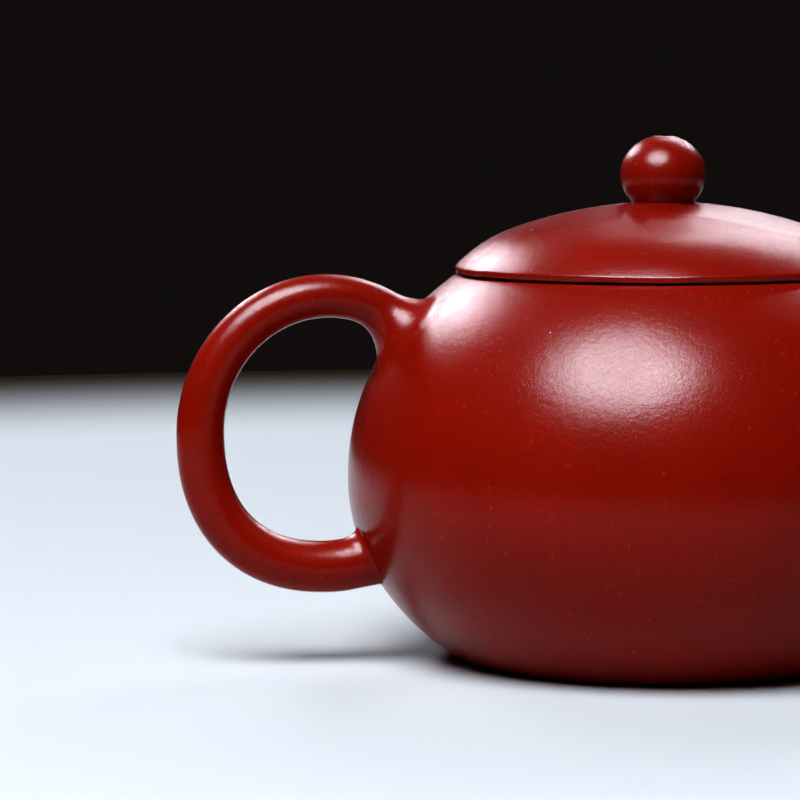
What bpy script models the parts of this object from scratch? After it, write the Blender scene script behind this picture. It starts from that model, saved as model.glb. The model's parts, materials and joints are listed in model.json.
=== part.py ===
# A round red clay teapot with a ball knob, a ring handle and a short spout.
# Metres, +Z up. The origin is the middle of the base, on the pot's axis:
# the handle is on -X and the spout on +X.
# Each piece is one that a potter forms by itself and lutes to its neighbours.

import math

import bpy
import bmesh
from mathutils import Vector

# Driving sizes of the body
BELLY_RADIUS = 0.0440
BELLY_HEIGHT = 0.0252       # of the widest line above the table
UPPER_RISE = 0.0365         # the upper quarter oval, from the widest line to its pole
UPPER_POWER = 2.08          # 2 is a plain ellipse, more is squarer
LOWER_DROP = 0.0329         # the lower quarter oval, its pole lies under the table
LOWER_POWER = 2.04
WALL = 0.0028
SHOULDER_DROP = 0.0065      # of the seam between wall and shoulder disc, below the mouth
FOOT_WIDTH = 0.0019         # the flat ring that the pot stands on
FOOT_ROUND = 0.0010         # height and width of the rounding outside that ring
BASE_THICKNESS = 0.0028
BASE_LIFT = 0.0010          # underside of the base disc at its edge, above the table
BASE_DISH = 0.0006          # how much higher its middle is pressed

# Mouth and lid
MOUTH_RADIUS = 0.0288       # where the lid cuts the pot's outline
MOUTH_LAND = 0.0003         # top of the shoulder disc outside the mouth ring
RING_WIDTH = 0.0028
RING_DEPTH = 0.0036
LID_OVERHANG = 0.0001
LID_CLEARANCE = 0.0004      # between the lid's flange and the mouth ring, all round
LID_EDGE = 0.0008           # the upright edge of the lid's rim
LID_RISE = 0.0089           # from the top of that edge to the crown
LID_CROWN = 0.0620          # radius of the crown's arc
LID_TURN = 0.0210           # where the crown starts to turn down to the rim
LID_PLATE = 0.0026
SEAT_THICKNESS = 0.0016
PLATE_EDGE = 0.00045        # upright edge of the lid plate, above the seat disc
FLANGE_WIDTH = 0.0024
FLANGE_DEPTH = 0.0070
KNOB_RADIUS = 0.00595
KNOB_HALF_HEIGHT = 0.0055
KNOB_NECK = 0.0044          # where the ball meets the lid
VENT_RADIUS = 0.0010

# Handle: a ring on an oval, thicker below than above
HANDLE_OFFSET = 0.0035      # middle of the ring outside the widest line
HANDLE_TOP_DROP = 0.0024    # of its middle line's top, below the mouth
HANDLE_BOTTOM = 0.0136      # its middle line's lowest point above the table
HANDLE_HALF_WIDTH = 0.0175
HANDLE_LOWER_POWER = 2.3    # fuller curve of the outer lower quarter
HANDLE_LOW_RADIUS = 0.0036
HANDLE_TOP_RADIUS = 0.0029
HANDLE_FLARE = 0.0020       # added to its radius at the end of the upper root
HANDLE_LOWER_TURN = math.radians(-100)      # where the oval ends and a straight root begins
HANDLE_UPPER_TURN = math.radians(118)
HANDLE_ROOT = 0.0060        # length of each straight root, most of it inside the wall

# Spout and strainer
SPOUT_ROOT_RADIUS = 0.0140
SPOUT_TIP_RADIUS = 0.0058
SPOUT_WALL = 0.0020
SPOUT_TIP_DROP = 0.0039     # of its tip's middle below the mouth
SPOUT_ROOT_DEPTH = 0.0090   # start of its middle line inside the widest line
SPOUT_BEND_OUT = 0.0070     # where its first direction ends, outside the widest line
SPOUT_BEND_RISE = 0.0030    # and how far that is above its start
WALL_HOLE_RADIUS = 0.0064   # level with the widest line, as the strainer is
STRAINER_BORDER = 0.0008    # of the wall's hole, inside the strainer's foot
STRAINER_WALL = 0.0020
STRAINER_HOLE_RADIUS = 0.0009
STRAINER_RINGS = ((0, 1), (26, 6), (52, 12))    # degrees off the middle, holes

GAP = 0.0003                # between pieces that touch
STEPS = 44                  # round the big turned pieces

# Worked out from the sizes above
FULL_TURN = 2 * math.pi
BASE_TOP = BASE_LIFT + BASE_THICKNESS
STRAINER_RADIUS = WALL_HOLE_RADIUS + STRAINER_BORDER + STRAINER_WALL
HANDLE_CENTRE = BELLY_RADIUS + HANDLE_OFFSET
REACH = HANDLE_CENTRE + HANDLE_HALF_WIDTH + (HANDLE_LOW_RADIUS + HANDLE_TOP_RADIUS) / 2


def outline(angle, inset=0.0):
    # Radius and height of the pot's outline: angle 0 is the widest line, up is
    # positive. An inset moves the point in along the outline's normal.
    rise, power = (UPPER_RISE, UPPER_POWER) if angle >= 0 else (LOWER_DROP, LOWER_POWER)
    side = 1 if angle >= 0 else -1
    across = max(math.cos(angle), 0.0) ** (2 / power)
    along = abs(math.sin(angle)) ** (2 / power)
    normal = Vector((across ** (power - 1) / BELLY_RADIUS, along ** (power - 1) / rise))
    normal.normalize()
    return (BELLY_RADIUS * across - inset * normal.x,
            BELLY_HEIGHT + side * (rise * along - inset * normal.y))


def angle_at(value, inset=0.0, by_radius=False):
    # The angle at which the outline has a height or, above the belly, a radius.
    low, high = (0.0, math.pi / 2) if by_radius else (-math.pi / 2, math.pi / 2)
    for _ in range(50):
        middle = (low + high) / 2
        radius, height = outline(middle, inset)
        below = radius > value if by_radius else height < value
        low, high = (middle, high) if below else (low, middle)
    return low


def spread(start, end, count):
    # Even steps from start to end, both included.
    return [start + (end - start) * i / count for i in range(count + 1)]


def along(angles, inset=0.0):
    return [outline(angle, inset) for angle in angles]


def bend(start, corner, end, count):
    # A soft corner: a quadratic curve from start to end.
    points = []
    for i in range(count + 1):
        t = i / count
        points.append(tuple((1 - t) ** 2 * a + 2 * t * (1 - t) * b + t * t * c
                            for a, b, c in zip(start, corner, end)))
    return points


MOUTH_HEIGHT = outline(angle_at(MOUTH_RADIUS, by_radius=True))[1]
SHOULDER_JOINT = MOUTH_HEIGHT - SHOULDER_DROP
HANDLE_HALF_HEIGHT = (MOUTH_HEIGHT - HANDLE_TOP_DROP - HANDLE_BOTTOM) / 2
HANDLE_HEIGHT = HANDLE_BOTTOM + HANDLE_HALF_HEIGHT
FOOT_OUTER = outline(angle_at(0.0))[0] - FOOT_ROUND
FOOT_INNER = FOOT_OUTER - FOOT_WIDTH
BASE_RADIUS = FOOT_INNER - 2 * GAP
SPOUT_TIP_HEIGHT = MOUTH_HEIGHT - SPOUT_TIP_DROP
SHOULDER_OUTSIDE = spread(angle_at(MOUTH_RADIUS, by_radius=True),
                          angle_at(SHOULDER_JOINT + GAP), 5)
WALL_OUTSIDE = spread(angle_at(SHOULDER_JOINT), angle_at(FOOT_ROUND), 14)
WALL_INSIDE = spread(angle_at(BASE_TOP, WALL), angle_at(SHOULDER_JOINT, WALL), 9)
RING_OUTER = MOUTH_RADIUS - MOUTH_LAND - GAP
RING_BORE = RING_OUTER - RING_WIDTH
FLANGE_RADIUS = RING_BORE - LID_CLEARANCE
FLANGE_BORE = FLANGE_RADIUS - FLANGE_WIDTH
LID_RADIUS = MOUTH_RADIUS + LID_OVERHANG
LID_BASE = MOUTH_HEIGHT + GAP
LID_EDGE_TOP = LID_BASE + LID_EDGE
LID_TOP = LID_EDGE_TOP + LID_RISE
SEAT_TOP = LID_BASE + SEAT_THICKNESS


def lid_arcs():
    # The crown's arc, and the arc that leaves it smoothly and ends at the rim.
    crown_centre = Vector((0.0, LID_TOP - LID_CROWN))
    slope = math.asin(LID_TURN / LID_CROWN)
    outward = Vector((math.sin(slope), math.cos(slope)))
    start = crown_centre + LID_CROWN * outward
    chord = Vector((LID_RADIUS, LID_EDGE_TOP)) - start
    turn = chord.length_squared / (-2 * chord.dot(outward))
    return crown_centre, start - turn * outward, turn, slope


def lid_point(slope, inset=0.0):
    # Radius and height on the lid's upper surface, by the angle of its normal.
    crown_centre, turn_centre, turn, change = lid_arcs()
    centre, radius = (crown_centre, LID_CROWN) if slope <= change else (turn_centre, turn)
    point = centre + (radius - inset) * Vector((math.sin(slope), math.cos(slope)))
    return point.x, point.y


def lid_slope(value, inset=0.0, by_height=False):
    # The normal's angle where the lid has a radius, or a height.
    low, high = 0.0, math.pi / 2
    for _ in range(50):
        middle = (low + high) / 2
        radius, height = lid_point(middle, inset)
        before = height > value if by_height else radius < value
        low, high = (middle, high) if before else (low, middle)
    return low


def lid_stretch(start, end, count, inset=0.0):
    return [lid_point(slope, inset) for slope in spread(start, end, count)]


PLATE_RADIUS = lid_point(lid_slope(SEAT_TOP + GAP + PLATE_EDGE, by_height=True))[0]


# Scene, materials and modelling helpers

for leftover in list(bpy.data.objects):
    bpy.data.objects.remove(leftover, do_unlink=True)

teapot = bpy.data.collections.new("clay_teapot")
cutters = bpy.data.collections.new("cutters")
bpy.context.scene.collection.children.link(teapot)
bpy.context.scene.collection.children.link(cutters)


def clay(name, colour, roughness):
    material = bpy.data.materials.new(name)
    material.use_nodes = True
    shader = material.node_tree.nodes["Principled BSDF"]
    shader.inputs["Base Color"].default_value = (*colour, 1.0)
    shader.inputs["Roughness"].default_value = roughness
    shader.inputs["Metallic"].default_value = 0.0
    material.diffuse_color = (*colour, 1.0)
    return material


BURNISHED = ((0.250, 0.016, 0.008), 0.34)       # rubbed with a horn tool outside
WIPED = ((0.270, 0.030, 0.014), 0.62)           # only wiped, inside and underneath


def finish(piece, look, smooth_angle=35):
    colour, roughness = look
    piece.data.materials.clear()
    piece.data.materials.append(clay(piece.name + "_clay", colour, roughness))
    piece.data.shade_smooth()
    piece.data.set_sharp_from_angle(angle=math.radians(smooth_angle))
    return piece


def turned(name, profile, closed=True, steps=STEPS, home=teapot):
    # Turns a profile of (radius, height) points round the upright axis.
    mesh = bpy.data.meshes.new(name)
    points = [(radius, 0.0, height) for radius, height in profile]
    edges = [(i, i + 1) for i in range(len(points) - 1)]
    if closed:
        edges.append((len(points) - 1, 0))
    mesh.from_pydata(points, edges, [])
    piece = bpy.data.objects.new(name, mesh)
    home.objects.link(piece)
    screw = piece.modifiers.new("turn", "SCREW")
    screw.angle = FULL_TURN
    screw.steps = screw.render_steps = steps
    screw.use_merge_vertices = True
    screw.merge_threshold = 0.00001
    screw.use_smooth_shade = True
    return piece


def tube(name, points, radii, sides, home=teapot):
    # A tube along points with a radius at each, made a mesh with welded caps.
    curve = bpy.data.curves.new(name + "_line", "CURVE")
    curve.dimensions = "3D"
    curve.bevel_depth = 1.0
    curve.bevel_resolution = (sides - 4) // 2
    curve.use_fill_caps = True
    spline = curve.splines.new("POLY")
    spline.points.add(len(points) - 1)
    for spot, place, radius in zip(spline.points, points, radii):
        spot.co = (*place, 1.0)
        spot.radius = radius
    guide = bpy.data.objects.new(name + "_line", curve)
    home.objects.link(guide)
    bpy.context.view_layer.update()
    evaluated = guide.evaluated_get(bpy.context.evaluated_depsgraph_get())
    mesh = bpy.data.meshes.new_from_object(evaluated)
    piece = bpy.data.objects.new(name, mesh)
    piece.matrix_world = guide.matrix_world.copy()
    home.objects.link(piece)
    bpy.data.objects.remove(guide, do_unlink=True)
    body = bmesh.new()
    body.from_mesh(mesh)
    bmesh.ops.remove_doubles(body, verts=body.verts, dist=0.00001)
    bmesh.ops.recalc_face_normals(body, faces=body.faces)
    body.to_mesh(mesh)
    body.free()
    return piece


def as_cutter(piece):
    piece.hide_render = True
    piece.display_type = "WIRE"
    return piece


def combine(piece, other, operation="DIFFERENCE"):
    step = piece.modifiers.new("with_" + other.name, "BOOLEAN")
    step.operation = operation
    step.solver = "EXACT"
    step.object = other
    return piece


def soften(piece, width, segments=1, angle=40):
    edge = piece.modifiers.new("soft_edges", "BEVEL")
    edge.width = width
    edge.segments = segments
    edge.limit_method = "ANGLE"
    edge.angle_limit = math.radians(angle)
    return piece


# Body

def make_body_wall():
    profile = along(WALL_OUTSIDE)
    profile += bend(profile[-1], outline(angle_at(0.0)), (FOOT_OUTER, 0.0), 3)[1:]
    profile += [(FOOT_INNER, 0.0), (BASE_RADIUS + GAP, GAP), (BASE_RADIUS + GAP, BASE_TOP)]
    profile += along(WALL_INSIDE, WALL)
    piece = turned("body_wall", profile)
    bpy.ops.mesh.primitive_cylinder_add(
        vertices=24, radius=WALL_HOLE_RADIUS, depth=4 * WALL,
        location=(BELLY_RADIUS - WALL / 2, 0.0, BELLY_HEIGHT),
        rotation=(0.0, math.pi / 2, 0.0))
    hole = bpy.context.active_object
    hole.name = "wall_hole"
    for home in list(hole.users_collection):
        home.objects.unlink(hole)
    cutters.objects.link(hole)
    combine(piece, as_cutter(hole))
    return finish(piece, BURNISHED)


def make_shoulder_disc():
    bore = RING_OUTER + GAP
    foot = angle_at(SHOULDER_JOINT + GAP, WALL)
    inside = spread(foot, angle_at(bore, WALL, by_radius=True), 4)
    profile = [(bore, MOUTH_HEIGHT)] + along(SHOULDER_OUTSIDE) + along(inside, WALL)
    return finish(turned("shoulder_disc", profile), BURNISHED)


def make_base_disc():
    underside = bend((BASE_RADIUS, BASE_LIFT), (BASE_RADIUS / 2, BASE_LIFT + BASE_DISH),
                     (0.0, BASE_LIFT + BASE_DISH), 3)
    profile = [(0.0, BASE_TOP), (BASE_RADIUS / 2, BASE_TOP), (BASE_RADIUS, BASE_TOP)]
    return finish(turned("base_disc", profile + underside, closed=False), WIPED)


def make_mouth_ring():
    floor = MOUTH_HEIGHT - RING_DEPTH
    profile = [(RING_OUTER, MOUTH_HEIGHT), (RING_OUTER, floor),
               (RING_BORE, floor), (RING_BORE, MOUTH_HEIGHT)]
    return finish(soften(turned("mouth_ring", profile), GAP), BURNISHED)


def filled(name, points):
    # The pot's turned outline as one solid, closed at the axis, for cutting.
    profile = [(0.0, points[0][1])] + points + [(0.0, points[-1][1])]
    return as_cutter(turned(name, profile, closed=False, home=cutters))


def pot_outside(name):
    return filled(name, along(SHOULDER_OUTSIDE + WALL_OUTSIDE, -GAP))


# Handle

def handle_place(angle):
    power = HANDLE_LOWER_POWER if -math.pi / 2 < angle < 0 else 2.0
    across, along = math.cos(angle), math.sin(angle)
    out = math.copysign(abs(across) ** (2 / power), across) * HANDLE_HALF_WIDTH
    up = math.copysign(abs(along) ** (2 / power), along) * HANDLE_HALF_HEIGHT
    return Vector((-HANDLE_CENTRE - out, 0.0, HANDLE_HEIGHT + up))


def handle_line():
    # The oval from root to root, then each straight root into the wall.
    count = 30
    places, radii = [], []
    for i in range(count + 1):
        share = i / count
        angle = HANDLE_LOWER_TURN + (HANDLE_UPPER_TURN - HANDLE_LOWER_TURN) * share
        places.append(handle_place(angle))
        radii.append(HANDLE_LOW_RADIUS + (HANDLE_TOP_RADIUS - HANDLE_LOW_RADIUS) * share)
    lower_way = (places[0] - places[1]).normalized()
    upper_way = (places[-1] - places[-2]).normalized()
    upper_start = places[-1]
    for i in range(1, 5):
        places.append(upper_start + upper_way * HANDLE_ROOT * i / 4)
        radii.append(HANDLE_TOP_RADIUS + HANDLE_FLARE * (i / 4) ** 2)
    places.insert(0, places[0] + lower_way * HANDLE_ROOT)
    radii.insert(0, HANDLE_LOW_RADIUS)
    return places, radii


def make_handle():
    places, radii = handle_line()
    piece = tube("handle", places, radii, 14)
    combine(piece, pot_outside("pot_for_handle"))
    return finish(piece, BURNISHED, 50)


# Spout and strainer

def spout_line():
    # Middle line of the spout, level with the handle's reach at its tip.
    bend_point = Vector((BELLY_RADIUS + SPOUT_BEND_OUT, BELLY_HEIGHT + SPOUT_BEND_RISE))
    tip = Vector((REACH - SPOUT_TIP_RADIUS, SPOUT_TIP_HEIGHT))
    for _ in range(6):
        rise = (tip - bend_point).normalized()
        tip.x = REACH - SPOUT_TIP_RADIUS * rise.y
    root = (BELLY_RADIUS - SPOUT_ROOT_DEPTH, BELLY_HEIGHT)
    return bend(root, tuple(bend_point), tuple(tip), 14)


def spout_radius(share):
    swell = (1 - share) ** 1.5
    return SPOUT_TIP_RADIUS + (SPOUT_ROOT_RADIUS - SPOUT_TIP_RADIUS) * swell


def make_spout():
    line = spout_line()
    places = [Vector((x, 0.0, z)) for x, z in line]
    radii = [spout_radius(i / (len(line) - 1)) for i in range(len(line))]
    piece = tube("spout", places, radii, 24)
    inner_places = [places[0] - (places[1] - places[0])] + places
    inner_places.append(places[-1] + (places[-1] - places[-2]))
    inner_radii = [radii[0]] + radii + [radii[-1]]
    bore = tube("spout_bore", inner_places, [r - SPOUT_WALL for r in inner_radii], 20, cutters)
    combine(piece, as_cutter(bore))
    combine(piece, pot_outside("pot_for_spout"))
    return finish(piece, BURNISHED, 50)


def ball(name, radius, centre):
    mesh = bpy.data.meshes.new(name)
    body = bmesh.new()
    bmesh.ops.create_uvsphere(body, u_segments=20, v_segments=12, radius=radius)
    body.to_mesh(mesh)
    body.free()
    piece = bpy.data.objects.new(name, mesh)
    piece.location = centre
    cutters.objects.link(piece)
    return as_cutter(piece)


def strainer_drills(centre):
    # One thin drill for each hole, all pointing at the ball's middle.
    mesh = bpy.data.meshes.new("strainer_drills")
    body = bmesh.new()
    for tilt, count in STRAINER_RINGS:
        for number in range(count):
            away = math.radians(tilt)
            round_axis = FULL_TURN * (number + 0.5) / count
            direction = Vector((-math.cos(away), math.sin(away) * math.cos(round_axis),
                                math.sin(away) * math.sin(round_axis)))
            turn = direction.to_track_quat("Z", "Y").to_matrix().to_4x4()
            drill = bmesh.ops.create_cone(
                body, cap_ends=True, segments=8, radius1=STRAINER_HOLE_RADIUS,
                radius2=STRAINER_HOLE_RADIUS, depth=3 * STRAINER_WALL)
            place = centre + direction * (STRAINER_RADIUS - STRAINER_WALL / 2)
            bmesh.ops.transform(body, matrix=turn, verts=drill["verts"])
            bmesh.ops.translate(body, vec=place, verts=drill["verts"])
    body.to_mesh(mesh)
    body.free()
    piece = bpy.data.objects.new("strainer_drills", mesh)
    cutters.objects.link(piece)
    return as_cutter(piece)


def make_strainer():
    # A pierced half ball over the wall's hole, inside the pot.
    centre = Vector((BELLY_RADIUS - WALL, 0.0, BELLY_HEIGHT))
    piece = ball("spout_strainer", STRAINER_RADIUS, centre)
    piece.hide_render = False
    piece.display_type = "TEXTURED"
    cutters.objects.unlink(piece)
    teapot.objects.link(piece)
    combine(piece, ball("strainer_hollow", STRAINER_RADIUS - STRAINER_WALL, centre))
    hollow = along(reversed(WALL_INSIDE), WALL + GAP)
    combine(piece, filled("pot_hollow", hollow), "INTERSECT")
    combine(piece, strainer_drills(centre))
    return finish(piece, WIPED, 50)


# Lid

def make_lid_seat_disc():
    border = lid_slope(PLATE_RADIUS + GAP)
    rim = lid_slope(LID_RADIUS)
    profile = lid_stretch(border, rim, 3)
    profile += [(LID_RADIUS, LID_BASE), (FLANGE_BORE, LID_BASE), (FLANGE_BORE, SEAT_TOP),
                (PLATE_RADIUS + GAP, SEAT_TOP)]
    return finish(turned("lid_seat_disc", profile), BURNISHED)


def make_lid_flange():
    floor = MOUTH_HEIGHT - FLANGE_DEPTH
    profile = [(FLANGE_RADIUS, MOUTH_HEIGHT), (FLANGE_RADIUS, floor),
               (FLANGE_BORE, floor), (FLANGE_BORE, MOUTH_HEIGHT)]
    return finish(soften(turned("lid_flange", profile), 2 * GAP), WIPED)


def make_lid_plate():
    foot = SEAT_TOP + GAP
    profile = lid_stretch(lid_slope(VENT_RADIUS), lid_slope(PLATE_RADIUS), 11)
    profile.append((PLATE_RADIUS, foot))
    profile += lid_stretch(lid_slope(foot, LID_PLATE, by_height=True),
                           lid_slope(VENT_RADIUS, LID_PLATE), 7, LID_PLATE)
    return finish(turned("lid_plate", profile), BURNISHED)


def make_knob():
    # A ball pressed a little flat and cut off by the lid, with the steam vent through it.
    foot = lid_slope(KNOB_NECK)
    last = math.pi - math.asin(KNOB_NECK / KNOB_RADIUS)
    centre = lid_point(foot, -GAP)[1] - KNOB_HALF_HEIGHT * math.cos(last)
    profile = [(KNOB_RADIUS * math.sin(angle), centre + KNOB_HALF_HEIGHT * math.cos(angle))
               for angle in spread(math.asin(VENT_RADIUS / KNOB_RADIUS), last, 13)]
    profile += lid_stretch(lid_slope(profile.pop()[0]), lid_slope(VENT_RADIUS), 2, -GAP)
    return finish(turned("knob", profile, steps=28), BURNISHED, 50)


pot_pieces = [make_body_wall(), make_shoulder_disc(), make_base_disc(), make_mouth_ring(),
              make_handle(), make_spout(), make_strainer()]
lid_pieces = [make_lid_plate(), make_lid_seat_disc(), make_lid_flange(), make_knob()]

lid_axis = bpy.data.objects.new("lid_axis", None)
lid_axis.location = (0.0, 0.0, LID_BASE)
teapot.objects.link(lid_axis)
bpy.context.view_layer.update()
for piece in lid_pieces:
    piece.parent = lid_axis
    piece.matrix_parent_inverse = lid_axis.matrix_world.inverted()
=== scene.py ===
import json
import math

import bpy
import bmesh
from mathutils import Matrix, Vector

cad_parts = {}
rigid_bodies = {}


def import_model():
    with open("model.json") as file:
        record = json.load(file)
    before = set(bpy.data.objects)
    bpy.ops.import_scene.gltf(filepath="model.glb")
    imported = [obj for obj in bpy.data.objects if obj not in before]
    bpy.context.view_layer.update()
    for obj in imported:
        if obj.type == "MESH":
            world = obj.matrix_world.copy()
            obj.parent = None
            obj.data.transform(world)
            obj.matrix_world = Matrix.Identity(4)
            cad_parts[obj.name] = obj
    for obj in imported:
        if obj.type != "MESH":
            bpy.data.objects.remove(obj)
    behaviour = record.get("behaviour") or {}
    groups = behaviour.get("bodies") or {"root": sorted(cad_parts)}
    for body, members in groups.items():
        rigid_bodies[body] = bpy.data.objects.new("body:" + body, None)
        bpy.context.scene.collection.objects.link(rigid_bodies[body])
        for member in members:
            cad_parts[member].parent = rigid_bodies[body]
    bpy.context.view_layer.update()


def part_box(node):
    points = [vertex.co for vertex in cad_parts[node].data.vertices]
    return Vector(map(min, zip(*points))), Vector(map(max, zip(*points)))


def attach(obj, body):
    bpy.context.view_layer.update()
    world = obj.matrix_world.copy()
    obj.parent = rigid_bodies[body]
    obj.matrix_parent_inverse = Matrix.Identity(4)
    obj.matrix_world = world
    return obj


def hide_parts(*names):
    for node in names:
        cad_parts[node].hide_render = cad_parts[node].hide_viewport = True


for leftover in list(bpy.data.objects):
    bpy.data.objects.remove(leftover, do_unlink=True)

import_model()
fullTurn = 2 * math.pi
sideways = Vector((0, 1, 0))


# Outline of the pot, shared by body, handle and spout

potForm = {
    "bellyRadius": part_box("body_wall")[1].y,
    "bellyHeight": 0.0252,
    "above": (0.0365, 2.08),      # height and fullness of the quarter oval above the widest line
    "below": (0.0329, 2.04),
    "wall": 0.0028,
}


def potOutline(angle, inset=0.0):
    # radius and height: angle 0 is the widest line, up is positive
    upper = angle >= 0
    rise, power = potForm["above" if upper else "below"]
    across = max(math.cos(angle), 0.0) ** (2 / power)
    along = abs(math.sin(angle)) ** (2 / power)
    slope = Vector((across ** (power - 1) / potForm["bellyRadius"], along ** (power - 1) / rise))
    slope.normalize()
    side = 1 if upper else -1
    return (potForm["bellyRadius"] * across - inset * slope.x,
            potForm["bellyHeight"] + side * (rise * along - inset * slope.y))


def halve(isBefore, low, high):
    # the place between low and high where isBefore stops being true
    for _ in range(50):
        middle = (low + high) / 2
        low, high = (middle, high) if isBefore(middle) else (low, middle)
    return low


def angleAtHeight(height, inset=0.0):
    return halve(lambda a: potOutline(a, inset)[1] < height, -math.pi / 2, math.pi / 2)


def angleAtRadius(radius, inset=0.0):
    return halve(lambda a: potOutline(a, inset)[0] > radius, 0.0, math.pi / 2)


def spread(start, end, count):
    return [start + (end - start) * i / count for i in range(count + 1)]


def potStretch(start, end, count, inset=0.0):
    return [potOutline(a, inset) for a in spread(start, end, count)]


def potGap(point):
    # signed distance to the pot's outer surface, nearly, and the direction away from it
    radius = math.hypot(point.x, point.y)
    height = point.z - potForm["bellyHeight"]
    upper = height >= 0
    rise, power = potForm["above" if upper else "below"]
    across, along = radius / potForm["bellyRadius"], abs(height) / rise
    level = across ** power + along ** power       # 1 on the surface
    pull = Vector((power * across ** (power - 1) / potForm["bellyRadius"],
                   power * along ** (power - 1) / rise * (1 if upper else -1)))
    outward = Vector((point.x / radius * pull.x, point.y / radius * pull.x, pull.y)).normalized()
    return (level - 1) / pull.length / max(level, 0.3) ** 0.5, outward


def ontoPot(point):
    for _ in range(4):
        gap, outward = potGap(point)
        point = point - gap * outward
    return point


# Modelling helpers

def bend(start, corner, end, count=6):
    # soft corner from start to end, first point left out
    points = []
    for i in range(1, count + 1):
        t = i / count
        points.append(tuple((1 - t) ** 2 * a + 2 * t * (1 - t) * b + t * t * c
                            for a, b, c in zip(start, corner, end)))
    return points


def placed(name, data):
    # a new object in the scene
    thing = bpy.data.objects.new(name, data)
    bpy.context.scene.collection.objects.link(thing)
    return thing


def meshFrom(bm, name):
    mesh = bpy.data.meshes.new(name)
    bm.to_mesh(mesh)
    bm.free()
    return mesh


def finishedPiece(name, mesh, material, body, replaced, sharp=40):
    piece = placed(name, mesh)
    mesh.materials.append(material)
    mesh.shade_smooth()
    mesh.set_sharp_from_angle(angle=math.radians(sharp))
    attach(piece, body)
    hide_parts(*replaced)
    print("made", name, len(mesh.polygons), "faces")


def spunMesh(name, profile, steps, closed):
    # turns (radius, height) points round the upright axis
    bm = bmesh.new()
    verts = [bm.verts.new((radius, 0, height)) for radius, height in profile]
    edges = [bm.edges.new(pair) for pair in zip(verts, verts[1:])]
    if closed:
        edges.append(bm.edges.new((verts[-1], verts[0])))
    bmesh.ops.spin(bm, geom=verts + edges, cent=(0, 0, 0), axis=(0, 0, 1),
                   angle=fullTurn, steps=steps, use_merge=True, use_duplicate=False)
    bmesh.ops.remove_doubles(bm, verts=bm.verts, dist=1e-6)
    bmesh.ops.recalc_face_normals(bm, faces=bm.faces)
    return meshFrom(bm, name)


def wrappedMesh(name, rings, joinEnds=False):
    # wraps a grid through rings of points, closes its seam, and joins or caps its ends
    sides = len(rings[0])
    if joinEnds:
        rings = rings + [rings[0]]
    bm = bmesh.new()
    bmesh.ops.create_grid(bm, x_segments=sides, y_segments=len(rings) - 1, size=1)
    bm.verts.ensure_lookup_table()
    for row, ring in enumerate(rings):
        for column in range(sides + 1):
            bm.verts[row * (sides + 1) + column].co = ring[column % sides]
    bmesh.ops.remove_doubles(bm, verts=bm.verts, dist=1e-7)
    if not joinEnds:
        bmesh.ops.holes_fill(bm, edges=[e for e in bm.edges if e.is_boundary], sides=0)
    bmesh.ops.recalc_face_normals(bm, faces=bm.faces)
    return meshFrom(bm, name)


def cutBy(mesh, cutterMesh):
    # the mesh with the cutter taken out of it
    whole, cutter = placed("whole", mesh), placed("cutter", cutterMesh)
    cut = whole.modifiers.new("cut", "BOOLEAN")
    cut.operation = "DIFFERENCE"
    cut.solver = "EXACT"
    cut.object = cutter
    bpy.context.view_layer.update()
    evaluated = whole.evaluated_get(bpy.context.evaluated_depsgraph_get())
    result = bpy.data.meshes.new_from_object(evaluated)
    for piece in (whole, cutter):
        bpy.data.objects.remove(piece, do_unlink=True)
    return result


# Tubes that grow out of the pot

rootForm = {
    "tubeSteps": 10,
    "softness": 0.55,              # 0 is a straight bevel, 1 a tight corner
    "tuck": ((0.0006, 0.00003), (0.0012, 0.00012)),   # how far out and how deep the edge dips
    "end": 0.0012,                 # depth of the tube's hidden end in the wall
}


def tubeRings(centres, radii, sides):
    # rings square to a line that lies in the upright plane through the handle
    rings = []
    for i, centre in enumerate(centres):
        way = (centres[min(i + 1, len(centres) - 1)] - centres[max(i - 1, 0)]).normalized()
        outer = sideways.cross(way).normalized()
        ring = []
        for k in range(sides):
            turn = fullTurn * k / sides
            ring.append(centre + radii[i] * (math.cos(turn) * outer + math.sin(turn) * sideways))
        rings.append(ring)
    return rings


def pointAt(line, index):
    whole = min(int(index), len(line) - 2)
    return line[whole].lerp(line[whole + 1], index - whole)


def crossing(line):
    # where a line along the tube enters the pot, as a fractional index
    i = next(i for i in range(len(line) // 2, len(line)) if potGap(line[i])[0] < 0)
    near, far = potGap(line[i - 1])[0], potGap(line[i])[0]
    return i - 1 + near / (near - far)


def stepBack(line, index, length):
    # the index that lies a length before another one
    below = int(index)
    gap = (pointAt(line, index) - line[below]).length
    while gap < length:
        length -= gap
        index, below = below, below - 1
        gap = (line[index] - line[below]).length
    return index - length / (line[below + 1] - line[below]).length


def rootColumn(line, first, entry, middle, wide, count):
    # one side of a root: a curve leaves the tube at first and lies down on the pot at a
    # distance of wide from where the tube would enter it, and its edge dips under the surface
    touch, start = pointAt(line, entry), pointAt(line, first)
    outward = potGap(touch)[1]
    away = touch - middle
    away = (away - away.dot(outward) * outward).normalized()
    into = (pointAt(line, first + 0.5) - pointAt(line, first - 0.5)).normalized()
    end = ontoPot(touch + away * wide)
    endOut = potGap(end)[1]
    along = (away - away.dot(endOut) * endOut).normalized()
    bendIn = start + into * rootForm["softness"] * (touch - start).length
    bendOut = end - along * rootForm["softness"] * wide
    column = [(1 - t) ** 3 * start + 3 * t * (1 - t) ** 2 * bendIn
              + 3 * t * t * (1 - t) * bendOut + t ** 3 * end for t in spread(0, 1, count)]
    for further, deeper in rootForm["tuck"]:
        under = ontoPot(end + along * further)
        column.append(under - potGap(under)[1] * deeper)
    column.append(touch - outward * rootForm["end"])
    return column


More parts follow.
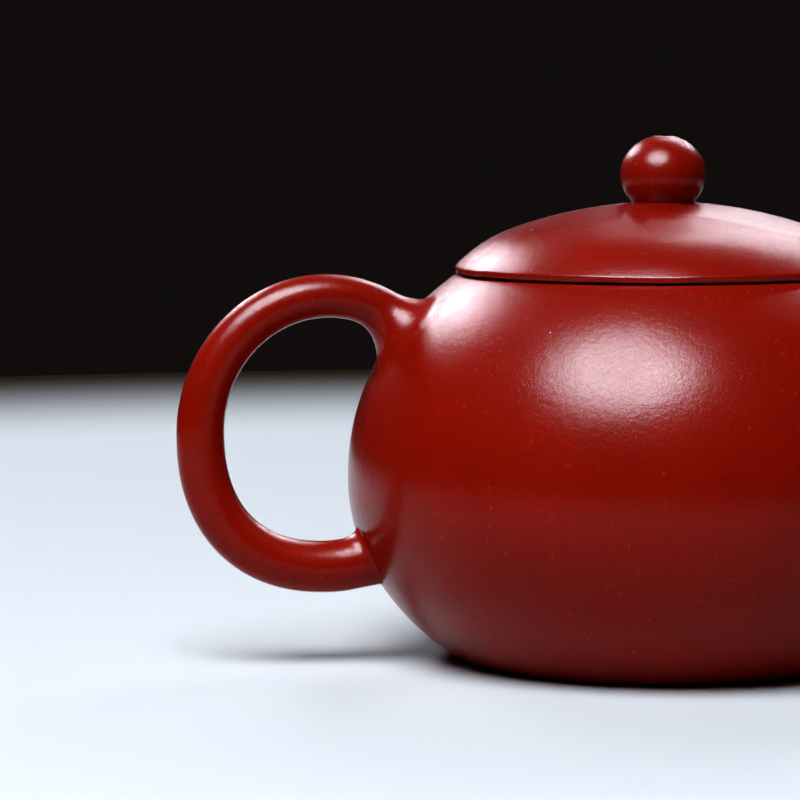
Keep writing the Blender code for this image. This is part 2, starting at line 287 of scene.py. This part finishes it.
def rootRings(rings, reach, spreadOut, count=12):
    # replaces the end of a tube, past which it would enter the pot, by a soft root that
    # lies flat on the pot; reach is its length on the tube and spreadOut that on the pot
    sides = len(rings[0])
    lines = [[ring[k] for ring in rings] for k in range(sides)]
    entries = [crossing(line) for line in lines]
    starts = [stepBack(line, entry, reach(k / sides))
              for k, (line, entry) in enumerate(zip(lines, entries))]
    shared = int(min(starts)) - 1
    roots = []
    for k, (line, entry, first) in enumerate(zip(lines, entries, starts)):
        middle = sum(rings[int(entry)], Vector()) / sides
        tube = [pointAt(line, index) for index in spread(shared, first, rootForm["tubeSteps"])]
        roots.append(tube[1:-1] + rootColumn(line, first, entry, middle, spreadOut(k / sides), count))
    return rings[:shared + 1] + [list(ring) for ring in zip(*roots)]


# Materials

class Shade:
    # one output in a material's node tree, so that shader maths reads as Python
    def __init__(self, tree, out=None):
        self.tree = tree
        self.out = out

    def node(self, kind, settings=None, values=None, output=0):
        node = self.tree.nodes.new(kind)
        for key, value in (settings or {}).items():
            if key == "stops":
                for stop, (place, grey) in zip(node.color_ramp.elements, value):
                    stop.position = place
                    stop.color = (grey, grey, grey, 1)
            else:
                setattr(node, key, value)
        for key, value in (values or {}).items():
            if isinstance(value, Shade):
                self.tree.links.new(value.out, node.inputs[key])
            else:
                node.inputs[key].default_value = value
        return Shade(self.tree, node.outputs[output])

    def feeds(self, shader, name):
        self.tree.links.new(self.out, shader.inputs[name])

    def maths(self, operation, *values):
        return self.node("ShaderNodeMath", {"operation": operation}, dict(enumerate(values)))

    def __add__(self, other):
        return self.maths("ADD", self, other)

    def __sub__(self, other):
        return self.maths("SUBTRACT", self, other)

    def __rsub__(self, other):
        return self.maths("SUBTRACT", other, self)

    def __mul__(self, other):
        return self.maths("MULTIPLY", self, other)

    __radd__ = __add__
    __rmul__ = __mul__


def newMaterial(name):
    # the material, its shader and a start for further nodes
    material = bpy.data.materials.new(name)
    material.use_nodes = True
    tree = material.node_tree
    return material, tree.nodes["Principled BSDF"], Shade(tree)


def mixed(share, one, two):
    return share.node("ShaderNodeMix", {"data_type": "RGBA"}, {0: share, 6: one, 7: two}, 2)


def clayMaterial(name, look):
    material, shader, nodes = newMaterial(name)
    place = nodes.node("ShaderNodeTexCoord", output="Object")

    def noise(where, scale, detail=2.0, rough=0.5):
        return nodes.node("ShaderNodeTexNoise", {}, {
            "Vector": where, "Scale": scale, "Detail": detail, "Roughness": rough})

    def ramp(value, low, high):
        return nodes.node("ShaderNodeValToRGB", {"stops": [(low, 0.0), (high, 1.0)]}, {"Fac": value})

    def dots(scale, size, edge):
        cells = nodes.node("ShaderNodeTexVoronoi", {}, {"Vector": place, "Scale": scale})
        return nodes.node("ShaderNodeValToRGB", {"stops": [(size, 1.0), (size * edge, 0.0)]},
                          {"Fac": cells})

    clouds = ramp(noise(place, look["cloudScale"], 3.0), *look["cloudEdges"])
    sand = ramp(noise(place, look["sandScale"], 2.0, 0.7), *look["sandEdges"])
    pits = dots(look["pitScale"], look["pitSize"], look["pitEdge"])
    # pale specks painted into the colour as painted glints
    paintedGlints = dots(look["glintScale"], look["glintSize"], look["glintEdge"])
    colour = mixed(clouds, (*look["clay"], 1), (*look["cloudClay"], 1))
    colour = mixed(sand * look["sandDark"], colour, (*look["darkClayAndShade"], 1))
    colour = mixed(paintedGlints * look["glintShare"], colour, (*look["glintColour"], 1))
    # painted shade in the pits: their colour is darkened
    colour = mixed(pits * look["pitShade"], colour, (*look["darkClayAndShade"], 1))
    colour.feeds(shader, "Base Color")

    patches = noise(place, look["patchScale"])
    roughness = look["roughness"] + (patches - 0.5) * look["patchRough"]
    roughness = roughness + pits * look["pitRough"] + sand * look["sandRough"]
    roughness.feeds(shader, "Roughness")
    shader.inputs["IOR"].default_value = look["ior"]

    # strokes are noise drawn out along one direction
    slant = nodes.node("ShaderNodeMapping", {}, {
        "Vector": place, "Rotation": look["strokeTurn"], "Scale": look["strokeScale"]})
    strokes = ramp(noise(slant, 1.0, 0.0), *look["strokeEdges"]) * clouds
    grain = noise(place, look["grainScale"], 2.0, 0.6) * look["grainDepth"]
    peel = noise(place, look["peelScale"], 1.0) * look["peelDepth"]
    wave = noise(place, look["waveScale"], 1.0) * look["waveDepth"]
    height = grain + peel + wave - pits * look["pitDepth"] - strokes * look["strokeDepth"]
    bump = nodes.node("ShaderNodeBump", {}, {"Strength": 1.0, "Distance": 1.0, "Height": height})
    bump.feeds(shader, "Normal")
    return material


burnishedLook = {
    "clay": (0.232, 0.0068, 0.0010),
    "cloudClay": (0.200, 0.0056, 0.0008),
    # dark colour of the clay's own sand specks, and of the painted shade in the pits
    "darkClayAndShade": (0.045, 0.0030, 0.0015),
    "glintColour": (0.34, 0.045, 0.020),
    "roughness": 0.17, "ior": 1.24,
    "cloudScale": 70, "cloudEdges": (0.3, 0.7),
    "patchScale": 160, "patchRough": 0.05,
    "sandScale": 2600, "sandEdges": (0.42, 0.72), "sandDark": 0.30, "sandRough": 0.06,
    # pale specks painted into the colour as painted glints
    "glintScale": 420, "glintSize": 0.07, "glintEdge": 1.8, "glintShare": 0.35,
    "pitScale": 170, "pitSize": 0.028, "pitEdge": 1.7,
    # the pits' darkening in the colour is painted shade
    "pitShade": 0.85, "pitRough": 0.3, "pitDepth": 0.00004,
    "grainScale": 3400, "grainDepth": 0.0000180,      # depths in metres
    "peelScale": 1400, "peelDepth": 0.0000220,
    "waveScale": 240, "waveDepth": 0.0000150,
    "strokeTurn": (0.3, 0.9, 0.5), "strokeScale": (4200, 4200, 160),
    "strokeEdges": (0.745, 0.765), "strokeDepth": 0.000012,
}
wipedLook = dict(burnishedLook, clay=(0.260, 0.014, 0.006), cloudClay=(0.220, 0.011, 0.005),
                 roughness=0.58, sandDark=0.45, grainDepth=0.000020)

burnishedClay = clayMaterial("burnishedClay", burnishedLook)
wipedClay = clayMaterial("wipedClay", wipedLook)
print("clay ready")


# Body, with base and mouth ring

bodyForm = {
    "steps": 180,
    "footOuter": 0.0277, "footInner": 0.0258, "footRound": 0.0010,
    "footLean": 0.0001, "footEase": 0.8,              # inner side of the foot ring
    "baseRadius": 0.0252, "baseLift": 0.0010, "baseDish": 0.0006,
    "floorRound": 0.0045, "floorEase": 1.9,
    "mouthRound": 0.0004, "mouthEase": 0.7, "lidOverhang": 0.0001,
    "ringWidth": 0.0028, "boreRound": 0.0005, "ringRound": 0.0008,
    # the fillet under the mouth ring, measured out from the ring's bore
    "ringFlat": 0.0012, "ringCorner": 0.0022, "ringEnd": 0.0032,
    "holeRadius": 0.0064, "holeSides": 48,            # behind the spout
}


def outsideOfBody(mouthRadius, mouthTop):
    form = bodyForm
    under = form["baseLift"] + form["baseDish"]
    points = [(0.0, under)]
    points += bend(points[0], (form["baseRadius"] / 2, under),
                   (form["baseRadius"], form["baseLift"]), 10)
    points += bend(points[-1], (form["footInner"] - form["footLean"], form["baseLift"] * form["footEase"]),
                   (form["footInner"], 0.0), 5)
    foot = angleAtHeight(form["footRound"])
    points += bend((form["footOuter"], 0.0), potOutline(angleAtHeight(0.0)), potOutline(foot), 8)
    rim = angleAtRadius(mouthRadius + form["mouthRound"] * form["mouthEase"])
    points += potStretch(foot, rim, 90)[1:]
    points += bend(points[-1], (mouthRadius, mouthTop),
                   (mouthRadius - form["mouthRound"], mouthTop), 5)
    return points


def insideOfBody(bore, ringTop, ringFloor, floor):
    form, wall = bodyForm, potForm["wall"]
    inner = angleAtRadius(bore + form["ringEnd"], wall)
    points = bend((bore + form["boreRound"], ringTop), (bore, ringTop),
                  (bore, ringTop - form["boreRound"]), 5)
    points += bend((bore, ringFloor + form["ringRound"]), (bore, ringFloor),
                   (bore + form["ringRound"], ringFloor), 5)
    points += bend((bore + form["ringFlat"], ringFloor), (bore + form["ringCorner"], ringFloor),
                   potOutline(inner, wall), 5)
    low = angleAtHeight(floor + form["floorRound"], wall)
    points += potStretch(inner, low, 50, wall)[1:]
    points += bend(points[-1], potOutline(angleAtHeight(floor, wall), wall),
                   (points[-1][0] - form["floorEase"] * form["floorRound"], floor), 8)
    points.append((0.0, floor))
    return points


def makeBody():
    form, wall = bodyForm, potForm["wall"]
    ringLow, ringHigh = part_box("mouth_ring")
    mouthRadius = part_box("lid_seat_disc")[1].x - form["lidOverhang"]
    profile = outsideOfBody(mouthRadius, ringHigh.z)
    profile += insideOfBody(ringHigh.x - form["ringWidth"], ringHigh.z, ringLow.z,
                            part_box("base_disc")[1].z)
    mesh = spunMesh("potBody", profile, form["steps"], closed=False)
    strainerLow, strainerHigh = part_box("spout_strainer")
    middle = Vector((potForm["bellyRadius"] - wall / 2, 0, (strainerLow.z + strainerHigh.z) / 2))
    drill = bmesh.new()
    bmesh.ops.create_cone(drill, cap_ends=True, segments=form["holeSides"],
                          radius1=form["holeRadius"], radius2=form["holeRadius"], depth=4 * wall)
    bmesh.ops.transform(drill, verts=drill.verts,
                        matrix=Matrix.Translation(middle) @ Matrix.Rotation(math.pi / 2, 4, "Y"))
    finishedPiece("potBody", cutBy(mesh, meshFrom(drill, "wallHole")), burnishedClay,
                  "pot", ["body_wall", "shoulder_disc", "base_disc", "mouth_ring"])


# Handle

handleForm = {
    "offset": 0.0035,         # middle of the ring outside the widest line
    "height": 0.0323,
    "halfWidth": 0.0175,
    "halfHeight": 0.0187,
    "lowerPower": 2.3,        # fuller outer lower quarter
    "lowRadius": 0.0036,
    "topRadius": 0.0029,
    "lowerTurn": math.radians(-100),
    "upperTurn": math.radians(118),
    "steps": 150,
    "rootLength": 0.0080, "rootSteps": 24,
    "sides": 56,
    # roots: a size, and how much more of it there is on the side towards the ring's middle
    "upperReach": (0.0058, 0.0012), "upperSpread": (0.0048, 0.0020),
    "lowerReach": (0.0007, 0.0021), "lowerSpread": (0.0003, 0.0012),
}


def handleLine():
    form = handleForm
    centre = Vector((-potForm["bellyRadius"] - form["offset"], 0, form["height"]))
    centres, radii = [], []
    for share in spread(0, 1, form["steps"]):
        angle = form["lowerTurn"] + (form["upperTurn"] - form["lowerTurn"]) * share
        power = form["lowerPower"] if -math.pi / 2 < angle < 0 else 2.0
        across, along = math.cos(angle), math.sin(angle)
        out = math.copysign(abs(across) ** (2 / power), across) * form["halfWidth"]
        up = math.copysign(abs(along) ** (2 / power), along) * form["halfHeight"]
        centres.append(centre + Vector((-out, 0, up)))
        radii.append(form["lowRadius"] + (form["topRadius"] - form["lowRadius"]) * share)
    upper, lower = centres[-1], centres[0]
    upperWay = (upper - centres[-2]).normalized()
    lowerWay = (lower - centres[1]).normalized()
    for i in range(1, form["rootSteps"] + 1):
        centres.append(upper + upperWay * form["rootLength"] * i / form["rootSteps"])
        radii.append(form["topRadius"])
        centres.insert(0, lower + lowerWay * form["rootLength"] * i / form["rootSteps"])
        radii.insert(0, form["lowRadius"])
    return centres, radii


# sizes of a root round its tube: a share of 0 is the side towards the ring's middle

def softSize(name):
    size, more = handleForm[name]
    return lambda share: size + more * math.cos(fullTurn * share)


def crispSize(name):
    size, more = handleForm[name]
    return lambda share: size + more * max(math.cos(fullTurn * share), 0.0) ** 2


def makeHandle():
    rings = tubeRings(*handleLine(), handleForm["sides"])
    rings = rootRings(rings, softSize("upperReach"), softSize("upperSpread"), 16)
    rings = rootRings(rings[::-1], crispSize("lowerReach"), crispSize("lowerSpread"))
    mesh = wrappedMesh("potHandle", rings)
    finishedPiece("potHandle", mesh, burnishedClay, "pot", ["handle"], 60)


# Spout

spoutForm = {
    "rootRadius": 0.0140,
    "tipRadius": 0.0058,
    "taper": 1.5,
    "wall": 0.0020,
    "rootHeight": 0.0250,
    "rootDepth": 0.0090,
    "bendOut": 0.0070,
    "bendHeight": 0.0280,
    "tipHeight": 0.0495,
    "steps": 90, "sides": 72,
    "rootReach": 0.0066, "rootSpread": 0.0048,
    "boreDepth": 0.0012,      # how far the bore enters the wall
    "boreSlack": 0.0005,      # the bore ends with its first ring this far inside the pot
    # the lip's rings: in from the edge, and out along the spout
    "lip": ((0.00010, 0.00022), (0.00035, 0.00042), (0.0007, 0.0005),
            (0.0011, 0.0005), (0.0015, 0.0004), (0.0018, 0.0002)),
}


def spoutLine():
    # centres from tip to root
    form = spoutForm
    belly = potForm["bellyRadius"]
    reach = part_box("spout")[1].x
    root = (belly - form["rootDepth"], form["rootHeight"])
    corner = Vector((belly + form["bendOut"], form["bendHeight"]))
    tip = Vector((reach - form["tipRadius"], form["tipHeight"]))
    for _ in range(6):        # the tip settles where its outer edge ends at the reach
        tip.x = reach - form["tipRadius"] * (tip - corner).normalized().y
    line = [root] + bend(root, corner, tip, form["steps"])
    return [Vector((x, 0, z)) for x, z in line[::-1]]


def makeSpout():
    form = spoutForm
    centres = spoutLine()
    flare = form["rootRadius"] - form["tipRadius"]
    radii = [form["tipRadius"] + flare * (i / form["steps"]) ** form["taper"]
             for i in range(form["steps"] + 1)]
    outer = tubeRings(centres, radii, form["sides"])
    outer = rootRings(outer, lambda share: form["rootReach"], lambda share: form["rootSpread"], 16)
    bore = tubeRings(centres, [r - form["wall"] for r in radii], form["sides"])
    entry = next(i for i, ring in enumerate(bore)
                 if max(potGap(p)[0] for p in ring) < -form["boreSlack"])
    depth = form["boreDepth"]
    bore = [[p if potGap(p)[0] > -depth else ontoPot(p) - potGap(p)[1] * depth for p in ring]
            for ring in bore[:entry]]
    way = (centres[0] - centres[1]).normalized()
    lip = [[p + way * rise + (centres[0] - p).normalized() * shrink for p in outer[0]]
           for shrink, rise in form["lip"]]
    mesh = wrappedMesh("potSpout", outer[::-1] + lip + bore, joinEnds=True)
    finishedPiece("potSpout", mesh, burnishedClay, "pot", ["spout"], 60)


# Strainer behind the spout

strainerForm = {
    "radius": 0.0092, "wall": 0.0020, "collar": 0.0010,
    "steps": 64, "arcSteps": 24, "firstAngle": 0.05,
    "holeRadius": 0.00075, "holeSides": 16,
    "rings": ((0, 1), (18, 6), (36, 12), (54, 17), (70, 21)),    # degrees from the tip, holes
    "stagger": 36,
}


def strainerShell():
    form = strainerForm

    def arc(radius, start, end):
        return [(radius * math.sin(a), radius * math.cos(a))
                for a in spread(start, end, form["arcSteps"])]

    outside, inside = form["radius"], form["radius"] - form["wall"]
    profile = [(0.0, outside)] + arc(outside, form["firstAngle"], math.pi / 2)
    profile += [(outside, -form["collar"]), (inside, -form["collar"])]
    profile += arc(inside, math.pi / 2, form["firstAngle"]) + [(0.0, inside)]
    return spunMesh("strainerShell", profile, form["steps"], closed=False)


def makeStrainer():
    form = strainerForm
    low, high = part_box("spout_strainer")
    centre = Vector((high.x, 0, (low.z + high.z) / 2))
    tilt = Matrix.Translation(centre) @ Matrix.Rotation(-math.pi / 2, 4, "Y")
    shell = strainerShell()
    shell.transform(tilt)
    holes = bmesh.new()
    for degrees, count in form["rings"]:
        away = math.radians(degrees)
        for number in range(count):
            turn = fullTurn * (number + degrees / form["stagger"]) / count
            way = Vector((math.sin(away) * math.cos(turn), math.sin(away) * math.sin(turn),
                          math.cos(away)))
            aim = way.to_track_quat("Z", "Y").to_matrix().to_4x4()
            lift = Matrix.Translation(way * (2 * form["radius"] - form["wall"]) / 2)
            bmesh.ops.create_cone(holes, cap_ends=True, segments=form["holeSides"],
                                  radius1=form["holeRadius"], radius2=form["holeRadius"],
                                  depth=3 * form["wall"], matrix=tilt @ lift @ aim)
    finishedPiece("spoutStrainer", cutBy(shell, meshFrom(holes, "strainerHoles")), wipedClay,
                  "pot", ["spout_strainer"])


# Lid

lidForm = {
    "edge": 0.0008, "rise": 0.0089, "crown": 0.0620, "turn": 0.0210, "plate": 0.0026,
    "vent": 0.0010, "steps": 180,
    "edgeRound": 0.00015, "seatInset": 0.00004, "seatTop": 0.0002, "seatRound": 0.0003,
    "flangeWall": 0.0024, "neckRound": 0.0006, "flangeRound": 0.0008,
    "innerDrop": 0.0018, "innerSpread": 0.0022,
    "handCut": 0.00004, "cutReach": 0.0012, "cutFrom": 0.0001,   # uneven rim, as cut by hand
}
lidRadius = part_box("lid_seat_disc")[1].x
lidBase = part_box("lid_seat_disc")[0].z
lidEdgeTop = lidBase + lidForm["edge"]
lidTop = lidEdgeTop + lidForm["rise"]


def lidArcs():
    # a flat crown arc that runs into a tighter one at the turn
    crownCentre = Vector((0, lidTop - lidForm["crown"]))
    slope = math.asin(lidForm["turn"] / lidForm["crown"])
    outward = Vector((math.sin(slope), math.cos(slope)))
    start = crownCentre + lidForm["crown"] * outward
    chord = Vector((lidRadius, lidEdgeTop)) - start
    radius = chord.length_squared / (-2 * chord.dot(outward))
    return crownCentre, start - radius * outward, radius, slope


def lidPoint(slope, inset=0.0):
    crownCentre, turnCentre, turnRadius, change = lidArcs()
    early = slope <= change
    centre, radius = (crownCentre, lidForm["crown"]) if early else (turnCentre, turnRadius)
    return tuple(centre + (radius - inset) * Vector((math.sin(slope), math.cos(slope))))


def lidSlope(radius, inset=0.0):
    return halve(lambda s: lidPoint(s, inset)[0] < radius, 0.0, math.pi / 2)


def lidStretch(start, end, count, inset=0.0):
    return [lidPoint(s, inset) for s in spread(start, end, count)]


def lidProfile():
    form = lidForm
    vent, plate, edgeRound = form["vent"], form["plate"], form["edgeRound"]
    flangeRadius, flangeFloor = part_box("lid_flange")[1].x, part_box("lid_flange")[0].z
    bore = flangeRadius - form["flangeWall"]
    seat, neck, tip = lidRadius - form["seatInset"], form["neckRound"], form["flangeRound"]
    profile = lidStretch(lidSlope(vent), lidSlope(lidRadius - edgeRound), 60)
    profile += bend(profile[-1], (lidRadius, lidEdgeTop), (lidRadius, lidEdgeTop - edgeRound), 4)
    profile += bend((seat, lidBase + form["seatTop"]), (seat, lidBase),
                    (lidRadius - form["seatRound"], lidBase), 4)
    profile += bend((flangeRadius + neck, lidBase), (flangeRadius, lidBase),
                    (flangeRadius, lidBase - neck), 4)
    profile += bend((flangeRadius, flangeFloor + tip), (flangeRadius, flangeFloor),
                    (flangeRadius - tip, flangeFloor), 5)
    profile += bend((bore + tip, flangeFloor), (bore, flangeFloor), (bore, flangeFloor + tip), 5)
    corner = lidPoint(lidSlope(bore, plate), plate)
    inner = lidSlope(bore - form["innerSpread"], plate)
    profile += bend((bore, corner[1] - form["innerDrop"]), corner, lidPoint(inner, plate), 8)
    profile += lidStretch(inner, lidSlope(vent, plate), 30, plate)[1:]
    return profile


def makeLid():
    form = lidForm
    mesh = spunMesh("lidShell", lidProfile(), form["steps"], closed=True)
    for vert in mesh.vertices:
        radius = math.hypot(vert.co.x, vert.co.y)
        rim = max(0.0, 1 - abs(radius - lidRadius) / form["cutReach"])
        turn = math.atan2(vert.co.y, vert.co.x)
        sway = math.sin(5 * turn + 1.1) + 0.7 * math.sin(11 * turn) + 0.5 * math.sin(23 * turn + 2)
        if vert.co.z > lidBase + form["cutFrom"]:
            vert.co.z += form["handCut"] * rim * sway
    finishedPiece("lidShell", mesh, burnishedClay, "lid",
                  ["lid_plate", "lid_seat_disc", "lid_flange"])


# Knob

knobForm = {
    "radius": 0.00595, "halfHeight": 0.0055, "neck": 0.0044, "steps": 96,
    "ventRound": 0.0003, "ventDrop": 0.0006,
    "footSpread": 0.0006, "neckTight": 0.0001,
    "footTuck": 0.0002, "footDepth": 0.0003, "plugDepth": 0.0008,    # hidden in the lid
}


def makeKnob():
    form, vent = knobForm, lidForm["vent"]
    wide, tall = form["radius"], form["halfHeight"]
    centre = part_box("knob")[1].z - tall
    first = math.asin((vent + form["ventRound"]) / wide)
    last = math.pi - math.asin(form["neck"] / wide)
    ball = [(wide * math.sin(a), centre + tall * math.cos(a)) for a in spread(first, last, 48)]
    ventTop = (vent, centre + tall - form["ventDrop"])
    foot = lidPoint(lidSlope(form["neck"] + form["footSpread"]))
    profile = [ventTop] + bend(ventTop, (vent, ball[0][1]), ball[0], 4) + ball[1:]
    profile += bend(ball[-1], (form["neck"] - form["neckTight"], foot[1] + form["neckTight"]), foot, 6)
    profile.append((foot[0] + form["footTuck"], foot[1] - form["footDepth"]))
    profile.append((vent, foot[1] - form["plugDepth"]))
    mesh = spunMesh("lidKnob", profile, form["steps"], closed=True)
    finishedPiece("lidKnob", mesh, burnishedClay, "lid", ["knob"])


makeBody()
makeHandle()
makeSpout()
makeStrainer()
makeLid()
makeKnob()


# Floor, light and camera

stageForm = {
    "radius": 0.50,
    "fadeFrom": 0.32,         # the floor darkens from here to its edge
    "floor": (0.56, 0.61, 0.67),
    "far": (0.025, 0.015, 0.010),
    "roughness": 0.8,
    "backdrop": (0.0090, 0.0070, 0.0070),
}


def makeFloor():
    form = stageForm
    bm = bmesh.new()
    bmesh.ops.create_circle(bm, cap_ends=True, segments=128, radius=form["radius"])
    mesh = meshFrom(bm, "floor")
    material, shader, nodes = newMaterial("paleFloor")
    place = nodes.node("ShaderNodeTexCoord", output="Object")
    away = nodes.node("ShaderNodeVectorMath", {"operation": "LENGTH"}, {0: place}, 1)
    fade = nodes.node("ShaderNodeMapRange", {"interpolation_type": "SMOOTHSTEP"},
                      {0: away, 1: form["fadeFrom"], 2: form["radius"]})
    mixed(fade, (*form["floor"], 1), (*form["far"], 1)).feeds(shader, "Base Color")
    shader.inputs["Roughness"].default_value = form["roughness"]
    shader.inputs["Specular IOR Level"].default_value = 0.0
    mesh.materials.append(material)
    placed("floor", mesh)


# turn from the front and lift above level lead to the lamp, in degrees, and roll turns it
# about that way; metres; watts for what it lights and for its gleam on the clay
lamps = {
    "topFront": {"turn": -38, "lift": 57, "roll": 0, "away": 0.75, "size": (0.58, 0.50),
                 "light": 7.4, "gleam": 65.0},
    "backLeft": {"turn": -157, "lift": 31, "roll": 38, "away": 0.80, "size": (0.45, 0.15),
                 "light": 1.6, "gleam": 26.0},
    "backRight": {"turn": 150, "lift": 35, "roll": 0, "away": 0.85, "size": (0.42, 0.32),
                  "light": 1.6, "gleam": 45.0},
}
lampTarget = Vector((0, 0, 0.035))
lampColours = {"light": (1.0, 1.0, 1.0), "gleam": (0.97, 0.92, 1.0)}


def makeLamp(name, lamp, share):
    light = bpy.data.lights.new(name, "AREA")
    light.shape = "ELLIPSE"
    light.size, light.size_y = lamp["size"]
    light.energy = lamp[share]
    light.color = lampColours[share]
    turn, lift = math.radians(lamp["turn"]), math.radians(lamp["lift"])
    way = Vector((math.sin(turn) * math.cos(lift), -math.cos(turn) * math.cos(lift),
                  math.sin(lift)))
    roll = Matrix.Rotation(math.radians(lamp["roll"]), 3, "Z")
    holder = placed(name, light)
    holder.location = lampTarget + way * lamp["away"]
    holder.rotation_euler = (way.to_track_quat("Z", "Y").to_matrix() @ roll).to_euler()
    holder.visible_camera = False
    holder.visible_diffuse = share == "light"
    holder.visible_glossy = share == "gleam"


def makeLamps():
    for name, lamp in lamps.items():
        for share in ("light", "gleam"):
            makeLamp(name + share.capitalize(), lamp, share)


def makeWorld():
    world = bpy.data.worlds.new("studio")
    world.use_nodes = True
    background = world.node_tree.nodes["Background"]
    background.inputs["Color"].default_value = (*stageForm["backdrop"], 1)
    background.inputs["Strength"].default_value = 1.0
    bpy.context.scene.world = world


# degrees, metres and, for lens and sensor, millimetres
view = {
    "turn": -14.0, "distance": 0.5273, "height": 0.0826,
    "yaw": 3.988, "pitch": -5.075, "roll": -0.21,
    "lens": 170.1, "sensor": 36.0,
}


def makeCamera():
    camera = bpy.data.cameras.new("camera")
    camera.lens = view["lens"]
    camera.sensor_width = view["sensor"]
    camera.clip_start, camera.clip_end = 0.01, 10.0
    holder = placed("camera", camera)
    turn = math.radians(view["turn"])
    holder.location = (view["distance"] * math.sin(turn), -view["distance"] * math.cos(turn),
                       view["height"])
    heading = Matrix.Rotation(turn + math.radians(view["yaw"]), 4, "Z")
    tilt = Matrix.Rotation(math.radians(90 + view["pitch"]), 4, "X")
    roll = Matrix.Rotation(math.radians(view["roll"]), 4, "Z")
    holder.rotation_euler = (heading @ tilt @ roll).to_euler()
    bpy.context.scene.camera = holder


makeFloor()
makeLamps()
makeWorld()
makeCamera()
bpy.context.scene.view_settings.view_transform = "Standard"
bpy.context.scene.view_settings.look = "Medium High Contrast"
print("studio ready")

bpy.context.view_layer.update()
